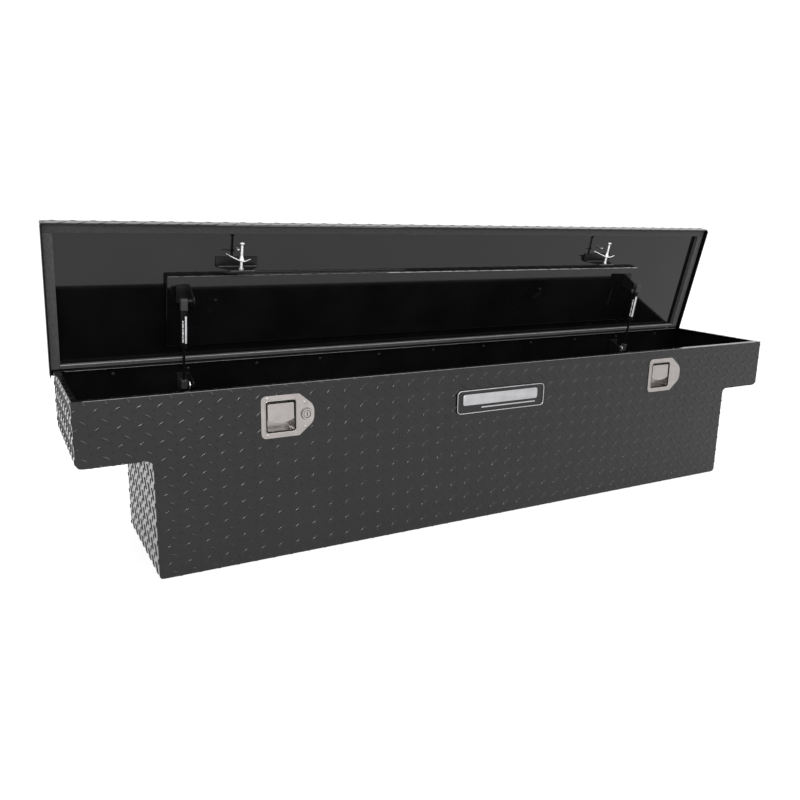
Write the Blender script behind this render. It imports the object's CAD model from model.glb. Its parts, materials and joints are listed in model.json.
"""Looks of the truck tool box: black coated tread plate, stainless latches, zinc strikers, foam seals."""

import json
import math

import bmesh
import bpy
from mathutils import Matrix, Vector


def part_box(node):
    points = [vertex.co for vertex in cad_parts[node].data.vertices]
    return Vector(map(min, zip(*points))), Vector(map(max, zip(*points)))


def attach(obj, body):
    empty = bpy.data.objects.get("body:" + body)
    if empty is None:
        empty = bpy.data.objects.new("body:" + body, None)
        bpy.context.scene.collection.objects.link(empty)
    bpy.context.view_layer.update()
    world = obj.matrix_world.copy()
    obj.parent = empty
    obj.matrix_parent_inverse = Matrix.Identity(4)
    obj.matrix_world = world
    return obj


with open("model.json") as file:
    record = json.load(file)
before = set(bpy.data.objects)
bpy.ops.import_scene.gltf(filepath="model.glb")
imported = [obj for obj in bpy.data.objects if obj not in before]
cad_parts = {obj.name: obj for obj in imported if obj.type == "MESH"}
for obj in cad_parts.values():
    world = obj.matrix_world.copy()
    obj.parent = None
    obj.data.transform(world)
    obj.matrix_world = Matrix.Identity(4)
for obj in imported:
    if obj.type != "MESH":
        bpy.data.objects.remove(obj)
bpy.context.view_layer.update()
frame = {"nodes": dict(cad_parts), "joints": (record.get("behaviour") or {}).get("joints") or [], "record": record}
RECORD = frame["record"]
JOINTS = {joint["name"]: joint for joint in frame["joints"]}
MOUNTS = {mount["name"]: mount for mount in RECORD["mounts"]}
SIDES = (("left", -1), ("right", 1))      # a side's name and the sign of its X

# ---------------------------------------------------------------- sizes, read from the frame
HALF_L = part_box("front_panel")[1].x
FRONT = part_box("front_panel")[0].y
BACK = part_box("rear_panel")[1].y
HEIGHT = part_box("front_panel")[1].z
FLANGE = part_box("front_panel")[1].y - FRONT
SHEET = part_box("floor_pan")[1].z
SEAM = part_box("floor_pan")[1].x
INSIDE_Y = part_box("floor_pan")[1].y
WING_Z = MOUNTS["right_wing_rest"]["pos_m"][2]
BASE_X = 2 * MOUNTS["right_wing_rest"]["pos_m"][0] - HALF_L      # the rest is at the wing's middle
BEND_WING = 0.012        # outer radius of the bends at the wings
BEND_BASE = 0.009        # outer radius of the bends at the base
RIM_FOLD = 0.0025        # outer radius of the folded rim at front and back
END_FOLD = 0.003         # outer radius of the folded rim at the ends
LID_FOLD = 0.003         # outer radius of the lid's folds
LIP = 0.009              # the lid's folded rear edge

HINGE = Vector(JOINTS["lid_hinge"]["pos_m"])
LID_OPEN = -math.radians(JOINTS["lid_hinge"]["range_deg"][0])
OPENED = (Matrix.Translation(HINGE) @ Matrix.Rotation(LID_OPEN, 4, Vector(JOINTS["lid_hinge"]["axis"]))
          @ Matrix.Translation(-HINGE))
SHUT = OPENED.inverted()


def shut_box(node):
    """Lowest and highest corner of a lid node as it lies with the lid shut."""
    points = [SHUT @ v.co for v in frame["nodes"][node].data.vertices]
    return (Vector([min(p[i] for p in points) for i in range(3)]),
            Vector([max(p[i] for p in points) for i in range(3)]))


LID_LOW, LID_HIGH = shut_box("lid_panel")


# ---------------------------------------------------------------- materials
NOISE_SPAN = (0.35, 0.65)      # where most values of a noise texture lie


class Shader:
    """A Principled material and the few nodes that give it its detail."""

    def __init__(self, name, color, roughness, metallic=0.0):
        self.material = bpy.data.materials.new(name)
        self.material.use_nodes = True
        self.nodes = self.material.node_tree.nodes
        self.links = self.material.node_tree.links
        self.shader = self.nodes["Principled BSDF"]
        self.place = self.nodes.new("ShaderNodeTexCoord").outputs["Object"]
        self.put("Base Color", (*color, 1.0))
        self.put("Roughness", roughness)
        self.put("Metallic", metallic)

    def put(self, socket, value):
        self.shader.inputs[socket].default_value = value

    def stretched(self, scale):
        """Coordinates scaled unevenly, for a grain that runs one way."""
        mapping = self.nodes.new("ShaderNodeMapping")
        mapping.inputs["Scale"].default_value = scale
        self.links.new(self.place, mapping.inputs["Vector"])
        return mapping.outputs["Vector"]

    def grain(self, scale, detail=3.0, roughness=0.55, place=None):
        texture = self.nodes.new("ShaderNodeTexNoise")
        texture.inputs["Scale"].default_value = scale
        texture.inputs["Detail"].default_value = detail
        texture.inputs["Roughness"].default_value = roughness
        self.links.new(place or self.place, texture.inputs["Vector"])
        return texture.outputs["Fac"]

    def cells(self, scale):
        texture = self.nodes.new("ShaderNodeTexVoronoi")
        texture.inputs["Scale"].default_value = scale
        self.links.new(self.place, texture.inputs["Vector"])
        return texture.outputs["Distance"]

    def spread(self, value, low, high, span=NOISE_SPAN):
        """A value that runs from low to high while the given one crosses the span."""
        ranger = self.nodes.new("ShaderNodeMapRange")
        ranger.inputs["From Min"].default_value, ranger.inputs["From Max"].default_value = span
        ranger.inputs["To Min"].default_value = low
        ranger.inputs["To Max"].default_value = high
        self.links.new(value, ranger.inputs["Value"])
        return ranger.outputs["Result"]

    def tint(self, value, low, high):
        """Base colour that runs from low to high with a noise value."""
        ramp = self.nodes.new("ShaderNodeValToRGB")
        for stop, position, color in zip(ramp.color_ramp.elements, NOISE_SPAN, (low, high)):
            stop.position = position
            stop.color = (*color, 1.0)
        self.links.new(value, ramp.inputs["Fac"])
        self.links.new(ramp.outputs["Color"], self.shader.inputs["Base Color"])

    def rough(self, value, low, high):
        self.links.new(self.spread(value, low, high), self.shader.inputs["Roughness"])

    def bump(self, *layers):
        """Bump from (height value, strength, distance in metres) layers, one over the other."""
        normal = None
        for value, strength, distance in layers:
            node = self.nodes.new("ShaderNodeBump")
            node.inputs["Strength"].default_value = strength
            node.inputs["Distance"].default_value = distance
            self.links.new(value, node.inputs["Height"])
            if normal is not None:
                self.links.new(normal, node.inputs["Normal"])
            normal = node.outputs["Normal"]
        self.links.new(normal, self.shader.inputs["Normal"])


def coated(name, roughness, peel):
    """Black coat over aluminium: slight orange peel, soft gloss changes and a little dust."""
    made = Shader(name, (0.004, 0.004, 0.0042), roughness)
    made.put("IOR", 1.437)
    made.tint(made.grain(9.0, 4.0), (0.0024, 0.0024, 0.0025), (0.0040, 0.0040, 0.0041))
    made.rough(made.grain(38.0, 5.0), roughness * 0.85, roughness * 1.2)
    made.bump((made.grain(260.0, 2.0), peel, 0.0004), (made.grain(1500.0, 2.0), peel * 0.5, 0.0001))
    return made


def dull_ends(made):
    """The coat is dry, without gloss, on the faces that look along the box."""
    split = made.nodes.new("ShaderNodeSeparateXYZ")
    made.links.new(made.nodes.new("ShaderNodeTexCoord").outputs["Normal"], split.inputs["Vector"])
    squared = made.nodes.new("ShaderNodeMath")
    squared.operation = "MULTIPLY"
    for socket in squared.inputs[:2]:
        made.links.new(split.outputs["X"], socket)
    level = made.spread(squared.outputs["Value"], 0.5, 0.05, (0.05, 0.35))
    made.links.new(level, made.shader.inputs["Specular IOR Level"])


def brushed(name, color, roughness, depth):
    """Bare metal with a fine brushed grain along X, and soft smudges."""
    made = Shader(name, color, roughness, 1.0)
    grain = made.grain(1.0, 2.0, 0.6, made.stretched((60.0, 2600.0, 2600.0)))
    smudge = made.grain(55.0, 4.0)
    made.tint(smudge, tuple(0.93 * c for c in color), tuple(min(1.0, 1.04 * c) for c in color))
    made.rough(smudge, roughness * 0.88, roughness * 1.16)
    made.bump((grain, depth, 0.0001))
    return made.material


def plated(name, color, roughness):
    """Zinc plate: bright, faintly mottled."""
    made = Shader(name, color, roughness, 1.0)
    mottle = made.grain(420.0, 4.0)
    made.tint(mottle, tuple(0.86 * c for c in color), color)
    made.rough(mottle, roughness * 0.8, roughness * 1.35)
    made.bump((made.grain(900.0, 2.0), 0.08, 0.0001))
    return made.material


def painted(name, color, roughness, gloss=0.5):
    """Paint, slightly uneven in colour and gloss."""
    made = Shader(name, color, roughness)
    made.put("Specular IOR Level", gloss)
    made.tint(made.grain(70.0, 4.0), tuple(0.8 * c for c in color), tuple(1.25 * c for c in color))
    made.rough(made.grain(160.0, 3.0), roughness * 0.85, roughness * 1.2)
    made.bump((made.grain(620.0, 3.0), 0.12, 0.0003))
    return made.material


def foamed(name, color):
    """Closed-cell foam: matte, with fine pores."""
    made = Shader(name, color, 0.92)
    made.put("Specular IOR Level", 0.25)
    made.put("Sheen Weight", 0.12)
    made.put("Sheen Roughness", 0.6)
    made.tint(made.grain(160.0, 5.0), tuple(0.82 * c for c in color), tuple(1.15 * c for c in color))
    made.bump((made.cells(950.0), 0.45, 0.0005), (made.grain(240.0, 3.0), 0.3, 0.0006))
    return made.material


def moulded(name, color, roughness, gloss=0.5):
    """Moulded plastic with a fine grain."""
    made = Shader(name, color, roughness)
    made.put("Specular IOR Level", gloss)
    made.tint(made.grain(90.0, 3.0), tuple(0.88 * c for c in color), tuple(1.1 * c for c in color))
    made.rough(made.grain(300.0, 3.0), roughness * 0.9, roughness * 1.15)
    made.bump((made.grain(1400.0, 2.0), 0.16, 0.0002))
    return made.material


COAT = coated("tread_coat", 0.13, 0.035).material
SMOOTH_SHADER = coated("smooth_coat", 0.045, 0.006)
dull_ends(SMOOTH_SHADER)
SMOOTH = SMOOTH_SHADER.material
STAINLESS = brushed("satin_stainless", (0.335, 0.312, 0.303), 0.33, 0.05)
ZINC = plated("bright_zinc", (0.86, 0.86, 0.88), 0.38)
STEEL = painted("black_steel", (0.006, 0.006, 0.0065), 0.34, 0.22)
TUBE = painted("strut_black", (0.004, 0.004, 0.0042), 0.30, 0.16)
EDGE = painted("worn_edge", (0.065, 0.065, 0.066), 0.35)
BRIGHT_EDGE = painted("bright_edge", (0.26, 0.26, 0.265), 0.35)
RIM_EDGE = painted("rim_edge", (0.15, 0.15, 0.152), 0.35)
FOAM = foamed("seal_foam", (0.032, 0.032, 0.033))
SIDE_FOAM = foamed("side_seal_foam", (0.046, 0.046, 0.048))
NYLON = moulded("socket_nylon", (0.028, 0.028, 0.029), 0.48, 0.35)
BADGE = moulded("badge_black", (0.006, 0.006, 0.0065), 0.30, 0.35)
TRIM = brushed("badge_trim", (0.42, 0.42, 0.43), 0.30, 0.03)
LABEL = moulded("label_white", (0.60, 0.60, 0.62), 0.45)
SLOTS = {"black_plate": COAT, "stainless": STAINLESS, "zinc": ZINC, "black_steel": STEEL, "foam": FOAM,
         "nylon": NYLON, "badge": BADGE}


def dress_frame():
    """Every CAD node takes the material of its record slot, but for a few with a look of their own."""
    slot_of = {part["node"]: part["material_slot"] for part in RECORD["subparts"]}
    for name, node in frame["nodes"].items():
        node.data.materials.clear()
        node.data.materials.append(SLOTS[slot_of[name]])
    looks = {"lid_panel": SMOOTH, "lid_stiffener": SMOOTH, "lock_barrel": STAINLESS, "rear_seal": SIDE_FOAM}
    for side, _ in SIDES:
        looks.update({side + "_seal": SIDE_FOAM, side + "_strut_tube": TUBE, side + "_strut_rod": TUBE,
                      side + "_body_ball_stud": STEEL})
    for name, material in looks.items():
        frame["nodes"][name].data.materials[0] = material


# ---------------------------------------------------------------- pieces
def finish_piece(name, bm, material, body, smooth_angle=40.0):
    """Turn a bmesh into a piece that rides a body; edges sharper than the angle stay sharp."""
    mesh = bpy.data.meshes.new(name)
    bm.to_mesh(mesh)
    bm.free()
    mesh.shade_smooth()
    mesh.set_sharp_from_angle(angle=math.radians(smooth_angle))
    mesh.materials.append(material)
    piece = bpy.data.objects.new(name, mesh)
    bpy.context.scene.collection.objects.link(piece)
    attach(piece, body)
    return piece


# ---------------------------------------------------------------- tread plate
PITCH_ACROSS = 0.0373    # between bars that lean the same way
PITCH_DOWN = 0.0348
BAR_LENGTH = 0.0265
BAR_WIDTH = 0.0080
BAR_HEIGHT = 0.0013
BAR_TILT = math.radians(38)
BAR_SIDES = 12
BAR_POWERS = (1.9, 0.9)  # exponents of a bar's pointed outline; an ellipse has (2, 0.5)
BAR_MARGIN = 0.002       # kept round a bar when it is tested against an edge
EMBED = 0.0004           # a bar's foot lies this deep in the sheet
RINGS = ((1.0, 1.0, -EMBED), (0.98, 0.88, 0.35 * BAR_HEIGHT), (0.90, 0.56, 0.85 * BAR_HEIGHT),
         (0.78, 0.18, BAR_HEIGHT))      # shares of the bar's length and width, and the height
BEND_CUTS = 6            # stretches that a bar is cut into where it runs over a bend
FAINT = 0.20             # height left to bars that are pressed down on the folded rims
FAINT_DOWN = 0.0045      # how far down the front they are pressed down
SKIRT_FAINT = 0.5        # the same on the lid's front skirt
STIFFENER_FAINT = 0.3    # and on the stiffener
FRONT_PHASE = (-0.7417, FLANGE + 0.0205)      # where each pattern starts, across and down
END_PHASE = (0.004, 0.010)
FLOOR_PHASE = (0.004, 0.017)
LID_START = -0.746       # where the lid's pattern starts across, and how far above the skirt's edge
LID_RISE = 0.008
STIFFENER_DROP = 0.002   # the stiffener's starts this far below its edge
CUT_DISTANCE = 1e-7      # a point this near a cutting plane counts as on it
CORNER_CUTS = (22.5, 45.0, 67.5)      # directions of the planes that round a corner, in degrees


def bar_points():
    """One raised bar of tread plate: rings of a pointed oval, from its foot to its crown."""
    inner, outer = BAR_POWERS
    points = []
    for along, across, height in RINGS:
        for i in range(BAR_SIDES):
            a = 2 * math.pi * i / BAR_SIDES
            u = math.cos(a)
            at_tip = abs(math.sin(a)) < 1e-6
            v = 0.0 if at_tip else math.copysign((1 - abs(u) ** inner) ** outer, math.sin(a))
            points.append((u * along * BAR_LENGTH / 2, v * across * BAR_WIDTH / 2, height))
    return points


BAR_POINTS = bar_points()


def add_bar(bm, t, s, lean, tilt):
    """One bar in the flat sheet, at t across and s down, leaning right (1) or left (-1)."""
    c, n = math.cos(tilt), -math.sin(tilt) * lean
    verts = [bm.verts.new((t + u * c - v * n, s + u * n + v * c, h)) for u, v, h in BAR_POINTS]
    last = len(RINGS) - 1
    bm.faces.new(verts[:BAR_SIDES][::-1])
    for ring in range(last):
        a, b = ring * BAR_SIDES, (ring + 1) * BAR_SIDES
        for i in range(BAR_SIDES):
            j = (i + 1) % BAR_SIDES
            bm.faces.new((verts[a + i], verts[a + j], verts[b + j], verts[b + i]))
    bm.faces.new(verts[last * BAR_SIDES:])


def folded_path(corners, radii):
    """Runs of a sheet's outer face, in order: (length, start, heading, turn, radius)."""
    runs = []
    here = Vector(corners[0])
    for i in range(1, len(corners) - 1):
        corner = Vector(corners[i])
        u = (corner - Vector(corners[i - 1])).normalized()
        v = (Vector(corners[i + 1]) - corner).normalized()
        turn = math.atan2(u.x * v.y - u.y * v.x, u.dot(v))
        reach = radii[i - 1] * math.tan(abs(turn) / 2)
        end = corner - u * reach
        runs.append(((end - here).length, here, u, 0.0, 0.0))
        runs.append((radii[i - 1] * abs(turn), end, u, turn, radii[i - 1]))
        here = corner + v * reach
    end = Vector(corners[-1])
    runs.append(((end - here).length, here, (end - here).normalized(), 0.0, 0.0))
    return runs


def along_path(runs, s):
    """Point and outward normal at distance s along a folded path."""
    for length, start, heading, turn, radius in runs:
        if s <= length or runs[-1][1] is start:
            break
        s -= length
    if turn == 0.0:
        return start + heading * s, Vector((heading.y, -heading.x))
    sign = math.copysign(1.0, turn)
    left = Vector((-heading.y, heading.x)) * sign
    centre = start + left * radius
    a = s / radius * sign
    c, n = math.cos(a), math.sin(a)
    spoke = Vector((-left.x * c + left.y * n, -left.x * n - left.y * c))
    return centre + spoke * radius, spoke * sign


def clip(bm, point, normal):
    """Cut away everything on the normal's side of a plane, and close the cut."""
    geometry = bm.verts[:] + bm.edges[:] + bm.faces[:]
    if not geometry:
        return
    cut = bmesh.ops.bisect_plane(bm, geom=geometry, dist=CUT_DISTANCE, plane_co=point, plane_no=normal,
                                 clear_outer=True)
    edges = [item for item in cut["geom_cut"] if isinstance(item, bmesh.types.BMEdge)]
    if edges:
        bmesh.ops.edgeloop_fill(bm, edges=edges)


def region(t, s, corner_radii=(0.0, 0.0)):
    """Planes round part of a sheet, between two limits across and two down. Left, right, top and bottom come
    first, then those that round the lower left and right corners."""
    planes = [((t[0], 0, 0), (-1, 0, 0)), ((t[1], 0, 0), (1, 0, 0)), ((0, s[0], 0), (0, -1, 0)),
              ((0, s[1], 0), (0, 1, 0))]
    for side, radius, edge in ((-1, corner_radii[0], t[0]), (1, corner_radii[1], t[1])):
        if radius:
            centre = Vector((edge - side * radius, s[1] - radius, 0))
            for degrees in CORNER_CUTS:
                a = math.radians(degrees)
                outward = Vector((side * math.cos(a), math.sin(a), 0))
                planes.append((centre + outward * radius, outward))
    return planes


def inside(planes, t, s):
    return all((t - p[0]) * n[0] + (s - p[1]) * n[1] <= 0 for p, n in planes)


def flat_tread(regions, total, phase, hidden, steep):
    """Bars of a sheet laid flat, total metres long, each cut off where it leaves its region."""
    tilt = math.pi / 2 - BAR_TILT if steep else BAR_TILT
    across, down = (PITCH_DOWN, PITCH_ACROSS) if steep else (PITCH_ACROSS, PITCH_DOWN)
    reach = (BAR_LENGTH / 2 * math.cos(tilt) + BAR_MARGIN, BAR_LENGTH / 2 * math.sin(tilt) + BAR_MARGIN)
    t_low = min(planes[0][0][0] for planes in regions)
    t_high = max(planes[1][0][0] for planes in regions)
    whole = bmesh.new()
    edged = [bmesh.new() for _ in regions]
    rows = range(-2, int(total / down * 2) + 3)
    columns = range(int((t_low - phase[0]) / across) - 2, int((t_high - phase[0]) / across) + 3)
    for half_row in rows:
        lean = 1 if half_row % 2 == 0 else -1
        for column in columns:
            t = phase[0] + (column + (half_row % 2) / 2) * across
            s = phase[1] % down + half_row * down / 2
            if any(covers(t, s) for covers in hidden):
                continue
            ends = [(t + a * reach[0], s + b * reach[1]) for a in (-1, 1) for b in (-1, 1)]
            if all(any(inside(planes, *end) for planes in regions) for end in ends):
                add_bar(whole, t, s, lean, tilt)
                continue
            for planes, bm in zip(regions, edged):
                left, right, top, bottom = (planes[i][0][i // 2] for i in range(4))
                if left - reach[0] < t < right + reach[0] and top - reach[1] < s < bottom + reach[1]:
                    add_bar(bm, t, s, lean, tilt)
    for planes, bm in zip(regions, edged):
        for point, normal in planes:
            clip(bm, point, normal)
        scrap = bpy.data.meshes.new("scrap")
        bm.to_mesh(scrap)
        whole.from_mesh(scrap)
        bm.free()
        bpy.data.meshes.remove(scrap)
    return whole


def fold_tread(bm, runs, total, place, faint):
    """Bend flat bars along the runs of a folded sheet, and press down those between the faint distances."""
    s = 0.0
    for length, _, _, turn, _ in runs:
        if turn:
            for i in range(BEND_CUTS + 1):
                geometry = bm.verts[:] + bm.edges[:] + bm.faces[:]
                at = (0, s + length * i / BEND_CUTS, 0)
                bmesh.ops.bisect_plane(bm, geom=geometry, dist=CUT_DISTANCE, plane_co=at, plane_no=(0, 1, 0))
        s += length
    for vert in bm.verts:
        t, s, h = vert.co
        point, normal = along_path(runs, min(max(s, 0.0), total))
        if h > 0.0:
            h *= min([1.0] + [share for low, high, share in faint if low <= s <= high])
        vert.co = place(t, point + normal * h)


def tread(name, body, runs, regions, place, phase, hidden=(), faint=(), steep=False):
    """Raised bars over a folded sheet. place maps (distance across, path point) to the frame, hidden says
    which bars something covers, and a steep tread is cut from the plate the other way round."""
    total = sum(run[0] for run in runs)
    bm = flat_tread(regions, total, phase, hidden, steep)
    fold_tread(bm, runs, total, place, faint)
    bmesh.ops.recalc_face_normals(bm, faces=bm.faces)
    return finish_piece(name, bm, COAT, body, smooth_angle=50.0)


LATCH_SQUARE = 0.038     # from a paddle's middle to where the latch plate starts to narrow
LATCH_NARROWS = 0.020    # how much narrower it is at its nose, above and below
COVER_MARGIN = 0.001     # a bar is left out when its middle is this far inside a cover's edge
BADGE_MARGIN = 0.004
LEAF_OVERLAP = 0.003     # bars start this far above the hinge leaf's lower edge


def latch_cover(side):
    """A test of whether the middle of a bar of the front sheet is behind a latch plate."""
    low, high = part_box(side + "_latch_plate")
    square_end = JOINTS[side + "_paddle_hinge"]["pos_m"][0] + LATCH_SQUARE
    middle, half = (low.z + high.z) / 2, (high.z - low.z) / 2

    def covers(t, s):
        z = FLANGE + HEIGHT - s
        if not low.x + COVER_MARGIN < t < high.x - COVER_MARGIN:
            return False
        narrowed = max(0.0, (t - square_end) / (high.x - square_end)) * LATCH_NARROWS
        return abs(z - middle) < half - 2 * COVER_MARGIN - narrowed

    return covers


def badge_cover(t, s):
    """Says whether the middle of a bar of the front sheet is behind the badge."""
    low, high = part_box("badge")
    z = FLANGE + HEIGHT - s
    across = low.x + BADGE_MARGIN < t < high.x - BADGE_MARGIN
    return across and low.z + BADGE_MARGIN < z < high.z - BADGE_MARGIN


def build_front_and_rear_treads():
    """Both long sheets, from the rim's flange down past the wings to the base's lower edge."""
    runs = folded_path([(FRONT + FLANGE, HEIGHT), (FRONT, HEIGHT), (FRONT, 0.0)], [RIM_FOLD])
    base_s = sum(run[0] for run in runs)
    wing_s = base_s - WING_Z
    top = region((-HALF_L, HALF_L), (0.0, wing_s), (BEND_WING, BEND_WING))
    base = region((-BASE_X, BASE_X), (wing_s, base_s), (BEND_BASE, BEND_BASE))
    tread("front_tread", "box", runs, [top, base], lambda t, p: (t, p.x, p.y), FRONT_PHASE,
          [latch_cover("left"), latch_cover("right"), badge_cover], [(0.0, FLANGE + FAINT_DOWN, FAINT)])
    leaf_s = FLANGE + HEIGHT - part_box("body_hinge_leaf")[0].z
    flange = region((-HALF_L, HALF_L), (0.0, FLANGE))
    under_leaf = region((-HALF_L, HALF_L), (leaf_s - LEAF_OVERLAP, wing_s), (BEND_WING, BEND_WING))
    tread("rear_tread", "box", runs, [flange, under_leaf, base], lambda t, p: (-t, -p.x, p.y), FRONT_PHASE,
          [lambda t, s: FLANGE < s < leaf_s - LEAF_OVERLAP - COVER_MARGIN], [(0.0, FLANGE, FAINT)])


def build_end_treads():
    """The wraps at both ends, from the rim round the wing and the base, and the floor between them."""
    wrap = [(-HALF_L + FLANGE, HEIGHT), (-HALF_L, HEIGHT), (-HALF_L, WING_Z), (-BASE_X, WING_Z),
            (-BASE_X, 0.0), (-SEAM, 0.0)]
    runs = folded_path(wrap, [END_FOLD, BEND_WING, BEND_WING, BEND_BASE])
    sheet = region((-INSIDE_Y, INSIDE_Y), (0.0, sum(run[0] for run in runs)))
    for side, sign in SIDES:
        tread(side + "_end_tread", "box", runs, [sheet], lambda t, p, sign=sign: (-sign * p.x, sign * t, p.y),
              END_PHASE, faint=[(0.0, FLANGE, FAINT)], steep=True)
    runs = folded_path([(-SEAM, 0.0), (0.0, 0.0), (SEAM, 0.0)], [0.0])
    tread("floor_tread", "box", runs, [region((-INSIDE_Y, INSIDE_Y), (0.0, 2 * SEAM))],
          lambda t, p: (p.x, -t, p.y), FLOOR_PHASE)


def on_lid(t, point):
    """Where a point laid out with the lid shut is in the frame."""
    return OPENED @ Vector((t, point.x, point.y))


def build_lid_treads():
    """The lid's top with its rear lip and front skirt, and the front face of its stiffener."""
    top, back, front = LID_HIGH.z, LID_HIGH.y, LID_LOW.y
    corners = [(back, top - LIP), (back, top), (front, top), (front, LID_LOW.z)]
    runs = folded_path(corners, [LID_FOLD, LID_FOLD])
    total = sum(run[0] for run in runs)
    side = LID_HIGH.x - LID_FOLD
    skirt = top - LID_LOW.z
    tread("lid_tread", "lid", runs, [region((-side, side), (0.0, total))], on_lid,
          (LID_START, total - LID_RISE), faint=[(0.0, LIP, FAINT), (total - skirt, total, SKIRT_FAINT)])
    low, high = shut_box("lid_stiffener")
    depth = high.z - low.z
    runs = folded_path([(low.y, high.z), (low.y, (low.z + high.z) / 2), (low.y, low.z)], [0.0])
    tread("stiffener_tread", "lid", runs, [region((low.x, high.x), (0.0, depth))], on_lid,
          (0.0, depth + STIFFENER_DROP), faint=[(0.0, depth, STIFFENER_FAINT)])


# ---------------------------------------------------------------- details
BEAD_SIDES = 8
SLANTED = Vector((0.13, 0.57, 0.81))      # a direction that no bead runs along


def turned(name, profile, origin, axis, material, body, sides=20, shut=False):
    """Turned piece: (distance along the axis, radius) steps from one end to the other, closed at both."""
    axis = Vector(axis).normalized()
    side = axis.orthogonal().normalized()
    other = axis.cross(side)
    bm = bmesh.new()
    rings = []
    for along, radius in profile:
        ring = []
        for i in range(sides):
            a = 2 * math.pi * i / sides
            point = Vector(origin) + axis * along + (side * math.cos(a) + other * math.sin(a)) * radius
            ring.append(bm.verts.new(OPENED @ point if shut else point))
        rings.append(ring)
    return skin(name, bm, rings, material, body)


def skin(name, bm, rings, material, body, looped=False):
    """Faces between rings of points, closed at both ends unless the rings form a loop."""
    count = len(rings[0])
    pairs = list(zip(rings, rings[1:] + rings[:1])) if looped else list(zip(rings, rings[1:]))
    for low, high in pairs:
        for i in range(count):
            j = (i + 1) % count
            bm.faces.new((low[i], low[j], high[j], high[i]))
    if not looped:
        bm.faces.new(rings[0][::-1])
        bm.faces.new(rings[-1])
    bmesh.ops.recalc_face_normals(bm, faces=bm.faces)
    return finish_piece(name, bm, material, body)


def bead(name, points, radius, material, body, looped=False, shut=False):
    """Round bead along points; shut points lie where the lid has them when it is shut."""
    path = [OPENED @ Vector(p) if shut else Vector(p) for p in points]
    angles = [2 * math.pi * k / BEAD_SIDES for k in range(BEAD_SIDES)]
    bm = bmesh.new()
    rings = []
    last = len(path) - 1
    for i, here in enumerate(path):
        before = path[i - 1] if looped or i else here
        after = path[(i + 1) % len(path)] if looped or i < last else here
        along = (after - before).normalized()
        side = along.cross(SLANTED).normalized()
        other = along.cross(side)
        spokes = [side * math.cos(a) + other * math.sin(a) for a in angles]
        rings.append([bm.verts.new(here + spoke * radius) for spoke in spokes])
    return skin(name, bm, rings, material, body, looped)


def rail(name, start, end, radius, material, body, shut=False):
    """Straight bead between two points."""
    middle = [(a + b) / 2 for a, b in zip(start, end)]
    return bead(name, [start, middle, end], radius, material, body, shut=shut)


def rounded(x, z, width, height, radius, steps=6):
    """Outline (x, z) of a rectangle with round corners."""
    outline = []
    for cx, cz, start in ((1, 1, 0), (-1, 1, 90), (-1, -1, 180), (1, -1, 270)):
        for i in range(steps + 1):
            a = math.radians(start + 90 * i / steps)
            outline.append((x + cx * (width / 2 - radius) + radius * math.cos(a),
                            z + cz * (height / 2 - radius) + radius * math.sin(a)))
    return outline


def front_outline(x, y, z, width, height, radius):
    """The same outline as points at depth y."""
    return [(px, y, pz) for px, pz in rounded(x, z, width, height, radius)]


def plaque(name, outline, back, front, chamfer, material, body):
    """Flat piece with chamfered front edges, between two depths."""
    x = sum(p[0] for p in outline) / len(outline)
    z = sum(p[1] for p in outline) / len(outline)
    width = max(p[0] for p in outline) - min(p[0] for p in outline)
    height = max(p[1] for p in outline) - min(p[1] for p in outline)
    kx, kz = 1 - 2 * chamfer / width, 1 - 2 * chamfer / height
    bm = bmesh.new()
    rings = [[bm.verts.new((px, back, pz)) for px, pz in outline],
             [bm.verts.new((px, front + chamfer, pz)) for px, pz in outline],
             [bm.verts.new((x + (px - x) * kx, front, z + (pz - z) * kz)) for px, pz in outline]]
    return skin(name, bm, rings, material, body)


RIVET = ((-0.0002, 0.0040), (0.0002, 0.0038), (0.0006, 0.0030), (0.0008, 0.0016), (0.00085, 0.0006))
LATCH_RIVETS = ((-0.0270, 0.0365), (-0.0270, -0.0370), (0.0500, 0.0235), (0.0510, -0.0265))  # from the middle
LIP_OUT = 0.0014         # centre line of the rolled lip, beyond the dish's opening
LIP_CORNER = 0.0062
LIP_RADIUS = 0.0010
GAP_IN = 0.0010          # centre line of the dark seal, behind the plate's face
GAP_CORNER = 0.0050
GAP_RADIUS = 0.0017
GROOVE_OUT = 0.0004      # centre line of the groove round the lock's plug
GROOVE_RADIUS = 0.0005


def build_latch_details():
    """Rolled lip and dark seal round each dish, rivets in each plate, and a groove round the lock's plug."""
    for side, _ in SIDES:
        low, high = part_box(side + "_latch_plate")
        face, z = low.y, (low.z + high.z) / 2
        sheet = high.y - low.y
        x = JOINTS[side + "_paddle_hinge"]["pos_m"][0]
        dish_low, dish_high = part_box(side + "_latch_dish")
        width, height = dish_high.x - dish_low.x - 2 * sheet, dish_high.z - dish_low.z - 2 * sheet
        lip = front_outline(x, face, z, width + 2 * LIP_OUT, height + 2 * LIP_OUT, LIP_CORNER)
        bead(side + "_opening_lip", lip, LIP_RADIUS, STAINLESS, "box", looped=True)
        gap = front_outline(x, face + GAP_IN, z, width - GAP_IN, height - GAP_IN, GAP_CORNER)
        bead(side + "_opening_seal", gap, GAP_RADIUS, TUBE, "box", looped=True)
        for i, (dx, dz) in enumerate(LATCH_RIVETS, 1):
            turned(f"{side}_latch_rivet_{i}", RIVET, (x + dx, face, z + dz), (0, -1, 0), STAINLESS, "box",
                   sides=14)
    low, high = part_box("lock_plug")
    x, z = (low.x + high.x) / 2, JOINTS["lock_turn"]["pos_m"][2]
    radius = (high.x - low.x) / 2 + GROOVE_OUT
    groove = front_outline(x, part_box("lock_barrel")[0].y, z, 2 * radius, 2 * radius, radius)
    bead("lock_groove", groove, GROOVE_RADIUS, TUBE, "box", looped=True)


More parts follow.
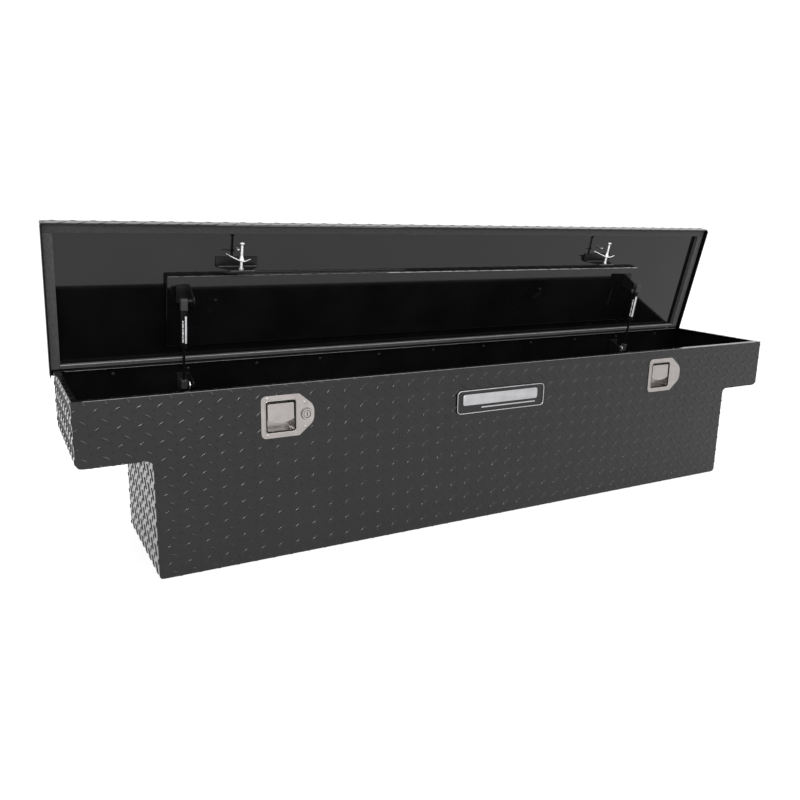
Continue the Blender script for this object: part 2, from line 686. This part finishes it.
BORDER_IN = 0.0015       # centre line of the badge's border, inside its edge
BORDER_CORNER = 0.0090
BORDER_RADIUS = 0.0011
FIELD_DEPTH = 0.0008     # the badge's field behind its face
STRIP_IN = 0.0003        # the strips start this far inside the field
# name, offset across and up, length less than the badge's, height, corner radius, rise over field, chamfer
BADGE_STRIPS = (("badge_band", -0.002, 0.0045, 0.036, 0.0250, 0.0050, 0.0016, 0.0006),
                ("badge_line", 0.020, -0.0150, 0.090, 0.0030, 0.0012, 0.0008, 0.0003))


def build_badge_details():
    """A border, a broad band and a thin line stand in for the real badge's lettering."""
    low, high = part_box("badge")
    x, z = (low.x + high.x) / 2, (low.z + high.z) / 2
    width, height = high.x - low.x, high.z - low.z
    border = front_outline(x, low.y, z, width - 2 * BORDER_IN, height - 2 * BORDER_IN, BORDER_CORNER)
    bead("badge_border", border, BORDER_RADIUS, TRIM, "box", looped=True)
    field = low.y + FIELD_DEPTH
    for name, dx, dz, shorter, tall, corner, proud, chamfer in BADGE_STRIPS:
        outline = rounded(x + dx, z + dz, width - shorter, tall, corner)
        plaque(name, outline, field + STRIP_IN, field - proud, chamfer, TRIM, "box")


LABEL_LOW = 0.410        # heights of the label's ends
LABEL_HIGH = 0.4685
LABEL_TURN = {"left": 0.35, "right": -0.30}      # how far round the tube from its front, in radians
LABEL_WIDTH = 0.0042
LABEL_STEPS = 6
INK_OUT = 0.00025        # the print stands this far out of the tube, and starts this far inside it
INK_IN = 0.0002
MARKS_TURN = 0.85        # how much less the row of marks is turned
MARK_WIDTH = 0.0026
MARKS_START = 0.04       # where the row of marks starts along the label, and its share of the length
MARKS_SHARE = 0.8
LABEL_MARKS = ((0.00, 0.16), (0.20, 0.29), (0.33, 0.52), (0.56, 0.63), (0.67, 0.88), (0.92, 1.00))
COLLAR = ((-0.0014, 0.0080), (-0.0010, 0.0090), (0.0010, 0.0090), (0.0014, 0.0080))
COLLAR_IN = 0.0050       # from the foot socket's inner face to the collar


def label_bar(name, side, turn, width, start, end):
    """One plain printed bar on a strut's tube, between two parts of the label's length."""
    pivot = Vector(JOINTS[side + "_strut_pivot"]["pos_m"])
    axis = Vector(JOINTS[side + "_strut_slide"]["axis"]).normalized()
    if axis.z < 0:
        axis = -axis
    low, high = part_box(side + "_strut_tube")
    radius = (high.x - low.x) / 2
    across = Vector((1, 0, 0))
    facing = axis.cross(across)
    if facing.y > 0:
        facing = -facing
    first, last = ((z - pivot.z) / axis.z for z in (LABEL_LOW, LABEL_HIGH))
    half = width / radius / 2
    angles = [turn - half + 2 * half * i / LABEL_STEPS for i in range(LABEL_STEPS + 1)]
    spokes = [facing * math.cos(a) + across * math.sin(a) for a in angles]
    bm = bmesh.new()
    rings = []
    for part in (start, end):
        centre = pivot + axis * (first + (last - first) * part)
        ring = [centre + spoke * (radius + INK_OUT) for spoke in spokes]
        ring += [centre + spoke * (radius - INK_IN) for spoke in spokes[::-1]]
        rings.append([bm.verts.new(p) for p in ring])
    return skin(name, bm, rings, LABEL, side + "_tube")


def build_strut_details():
    """Collar on each lower ball stud, and the printed bars of each tube's label, with no lettering."""
    for side, sign in SIDES:
        foot = JOINTS[side + "_strut_pivot"]["pos_m"]
        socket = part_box(side + "_strut_foot_socket")[0 if sign > 0 else 1].x
        turned(side + "_stud_collar", COLLAR, (socket - sign * COLLAR_IN, foot[1], foot[2]), (1, 0, 0), ZINC,
               "box", sides=24)
        turn = LABEL_TURN[side]
        label_bar(side + "_label_bar", side, turn, LABEL_WIDTH, 0.0, 1.0)
        for i, mark in enumerate(LABEL_MARKS, 1):
            start, end = (MARKS_START + MARKS_SHARE * share for share in mark)
            label_bar(f"{side}_label_mark_{i}", side, turn - MARKS_TURN, MARK_WIDTH, start, end)


FLARE = ((-0.0930, 0.0032), (-0.0885, 0.0044), (-0.0855, 0.0062), (-0.0842, 0.0062), (-0.0840, 0.0032))
CAP = ((-0.1226, 0.0020), (-0.1220, 0.0042), (-0.1200, 0.0054), (-0.1180, 0.0050), (-0.1165, 0.0033))
STUD = ((-0.0002, 0.0026), (0.0110, 0.0026), (0.0126, 0.0018), (0.0130, 0.0008))
STUD_Y = -0.0995         # the lid's stud over each striker, lid shut
# name, inset from the bracket's ends, and height over its lower edge or under its upper one
BRACKET_LINES = (("rib", 0.004, -0.012), ("edge", 0.020, 0.0008))
BRACKET_IN = 0.0030      # from the bracket's rear to the lines
BRACKET_LINE_RADIUS = 0.0009


def build_striker_details():
    """Flare and cap of each striker pin, the stud over it, and the folded edges of its bracket."""
    for side, _ in SIDES:
        low, high = shut_box(side + "_striker_pin")
        x = JOINTS[side + "_paddle_hinge"]["pos_m"][0]
        z = (low.z + high.z) / 2
        for name, profile in (("flare", FLARE), ("cap", CAP)):
            turned(f"{side}_striker_{name}", profile, (x, 0, z), (0, 1, 0), ZINC, "lid", sides=18,
                   shut=True)
        panel = shut_box("lid_stiffener")[1].z
        turned(side + "_lid_stud", STUD, (x, STUD_Y, panel), (0, 0, -1), ZINC, "lid", sides=14,
               shut=True)
        low, high = shut_box(side + "_striker_bracket")
        for name, inset, rise in BRACKET_LINES:
            y, z = high.y - BRACKET_IN, rise + (low.z if rise > 0 else high.z)
            rail(f"{side}_bracket_{name}", (low.x + inset, y, z), (high.x - inset, y, z), BRACKET_LINE_RADIUS,
                 EDGE, "lid", shut=True)


LID_LINE_RADIUS = 0.0010
SEAL_LINE_RISE = 0.0016
FOLD_LINE_IN = 0.0008
FOLD_LINE_ENDS = 0.004
FOLD_LINE_SPLIT = (-0.151, -0.150)      # the stiffener's fold is worn brighter to the right of here
TRIM_RADIUS = 0.0018
TRIM_IN = 0.0010                        # the trims' centre lines, inside the side skirts
TRIM_RISE = 0.0002
TRIM_ENDS = (0.004, 0.008)              # gaps in front of and behind the trims
HINGE_RIVETS = 11
HINGE_RIVET_PITCH = 0.157
HINGE_RIVET_SHIFT = 0.011
HINGE_RIVET_DROP = 0.0145


def build_lid_details():
    """Lines on the rear seal and the stiffener's fold, trims on the side skirts, and the hinge's rivets."""
    low, high = shut_box("rear_seal")
    z = low.z + SEAL_LINE_RISE
    rail("rear_seal_edge", (low.x, low.y, z), (high.x, low.y, z), LID_LINE_RADIUS, BRIGHT_EDGE, "lid",
         shut=True)
    low, high = shut_box("lid_stiffener")
    y, z = low.y + FOLD_LINE_IN, low.z + FOLD_LINE_IN
    for side, material, start, end in (("left", EDGE, low.x + FOLD_LINE_ENDS, FOLD_LINE_SPLIT[0]),
                                       ("right", BRIGHT_EDGE, FOLD_LINE_SPLIT[1], high.x - FOLD_LINE_ENDS)):
        rail(side + "_stiffener_fold", (start, y, z), (end, y, z), LID_LINE_RADIUS, material, "lid",
             shut=True)
    front, back = LID_LOW.y + TRIM_ENDS[0], LID_HIGH.y - TRIM_ENDS[1]
    for side, sign in SIDES:
        x, z = sign * (LID_HIGH.x - TRIM_IN), LID_LOW.z + TRIM_RISE
        rail(side + "_skirt_trim", (x, front, z), (x, back, z), TRIM_RADIUS, TUBE, "lid",
             shut=True)
    for k in range(HINGE_RIVETS):
        x = HINGE_RIVET_SHIFT + HINGE_RIVET_PITCH * (k - HINGE_RIVETS // 2)
        turned(f"hinge_rivet_{k + 1}", RIVET, (x, BACK - SHEET, HEIGHT - HINGE_RIVET_DROP), (0, -1, 0), STEEL,
               "box", sides=12)


RIM_LINE_ENDS = 0.020
RIM_LINE_RADIUS = 0.0006
# name, depth and how far below the rim's top
RIM_LINES = (("front_rim_edge", FRONT + 0.0003, 0.0007), ("rear_rim_edge", BACK - FLANGE + 0.0004, 0.0008))


def build_rim_details():
    """Thin worn lines along the folded rim: outside at the front, on the flange's edge at the back."""
    end = HALF_L - RIM_LINE_ENDS
    for name, y, drop in RIM_LINES:
        rail(name, (-end, y, HEIGHT - drop), (end, y, HEIGHT - drop), RIM_LINE_RADIUS, RIM_EDGE, "box")


# ---------------------------------------------------------------- studio
FLOOR_RADIUS = 30.0
FLOOR_Z = -0.0016        # below the bars under the base
FLOOR_COLOR = 0.28
FLOOR_GLOW = 0.78        # the paper is lit evenly from below, as in a product photo
SKY_HORIZON = (0.30, 0.78)       # direction's Z and brightness where the sky starts to lighten
SKY_TOP = (0.52, 1.0)
SKY_STRENGTH = 1.42
# name, place, what it points at, size and power
LIGHTS = (("key_softbox", (-1.3, -3.8, 1.65), (0.0, 0.0, 0.3), 0.75, 52.0),
          ("fill_softbox", (3.0, -7.9, 2.2), (0.3, 0.0, 0.3), 2.4, 80.0),
          ("top_softbox", (-0.6, -0.6, 3.4), (0.0, 0.0, 0.3), 1.6, 15.0))
CAMERA_PLACE = (-1.0110, -1.5513, 0.6804)
CAMERA_ANGLES = (28.614, 13.378, 1.091)      # degrees to the right of +Y, down, and rolled
CAMERA_LENS = 34.986


def build_floor():
    mesh = bpy.data.meshes.new("floor")
    bm = bmesh.new()
    bmesh.ops.create_circle(bm, cap_ends=True, segments=96, radius=FLOOR_RADIUS)
    bm.to_mesh(mesh)
    bm.free()
    floor = bpy.data.objects.new("floor", mesh)
    bpy.context.scene.collection.objects.link(floor)
    floor.location.z = FLOOR_Z
    paper = Shader("floor_paper", (FLOOR_COLOR,) * 3, 0.9)
    paper.tint(paper.grain(3.0, 2.0), (FLOOR_COLOR - 0.005,) * 3, (FLOOR_COLOR + 0.005,) * 3)
    paper.put("Emission Color", (1.0, 1.0, 1.0, 1.0))
    paper.put("Emission Strength", FLOOR_GLOW)
    mesh.materials.append(paper.material)


def build_sky():
    """A white surround, a little dimmer toward the floor."""
    world = bpy.data.worlds.new("studio")
    world.use_nodes = True
    nodes, links = world.node_tree.nodes, world.node_tree.links
    split = nodes.new("ShaderNodeSeparateXYZ")
    links.new(nodes.new("ShaderNodeTexCoord").outputs["Generated"], split.inputs["Vector"])
    ramp = nodes.new("ShaderNodeValToRGB")
    for stop, (position, level) in zip(ramp.color_ramp.elements, (SKY_HORIZON, SKY_TOP)):
        stop.position = position
        stop.color = (level, level, level, 1.0)
    links.new(split.outputs["Z"], ramp.inputs["Fac"])
    links.new(ramp.outputs["Color"], nodes["Background"].inputs["Color"])
    nodes["Background"].inputs["Strength"].default_value = SKY_STRENGTH
    bpy.context.scene.world = world


def build_lights():
    for name, location, target, size, power in LIGHTS:
        light = bpy.data.lights.new(name, "AREA")
        light.size = size
        light.energy = power
        lamp = bpy.data.objects.new(name, light)
        bpy.context.scene.collection.objects.link(lamp)
        lamp.location = location
        lamp.rotation_euler = (Vector(target) - Vector(location)).to_track_quat("-Z", "Y").to_euler()


def build_camera():
    camera = bpy.data.objects.new("camera", bpy.data.cameras.new("camera"))
    bpy.context.scene.collection.objects.link(camera)
    camera.data.sensor_width = 36.0
    camera.data.lens = CAMERA_LENS
    azimuth, down, roll = (math.radians(a) for a in CAMERA_ANGLES)
    level = Vector((math.sin(azimuth), math.cos(azimuth), 0.0))
    forward = level * math.cos(down) - Vector((0.0, 0.0, math.sin(down)))
    right = Vector((math.cos(azimuth), -math.sin(azimuth), 0.0))
    up = right.cross(forward)
    c, s = math.cos(roll), math.sin(roll)
    matrix = Matrix((c * right + s * up, c * up - s * right, -forward)).transposed().to_4x4()
    matrix.translation = CAMERA_PLACE
    camera.matrix_world = matrix
    camera.data.clip_end = 100.0
    bpy.context.scene.camera = camera
    bpy.context.scene.view_settings.view_transform = "Standard"


dress_frame()
build_front_and_rear_treads()
build_end_treads()
build_lid_treads()
build_latch_details()
build_badge_details()
build_strut_details()
build_striker_details()
build_lid_details()
build_rim_details()
build_floor()
build_sky()
build_lights()
build_camera()

bpy.context.view_layer.update()
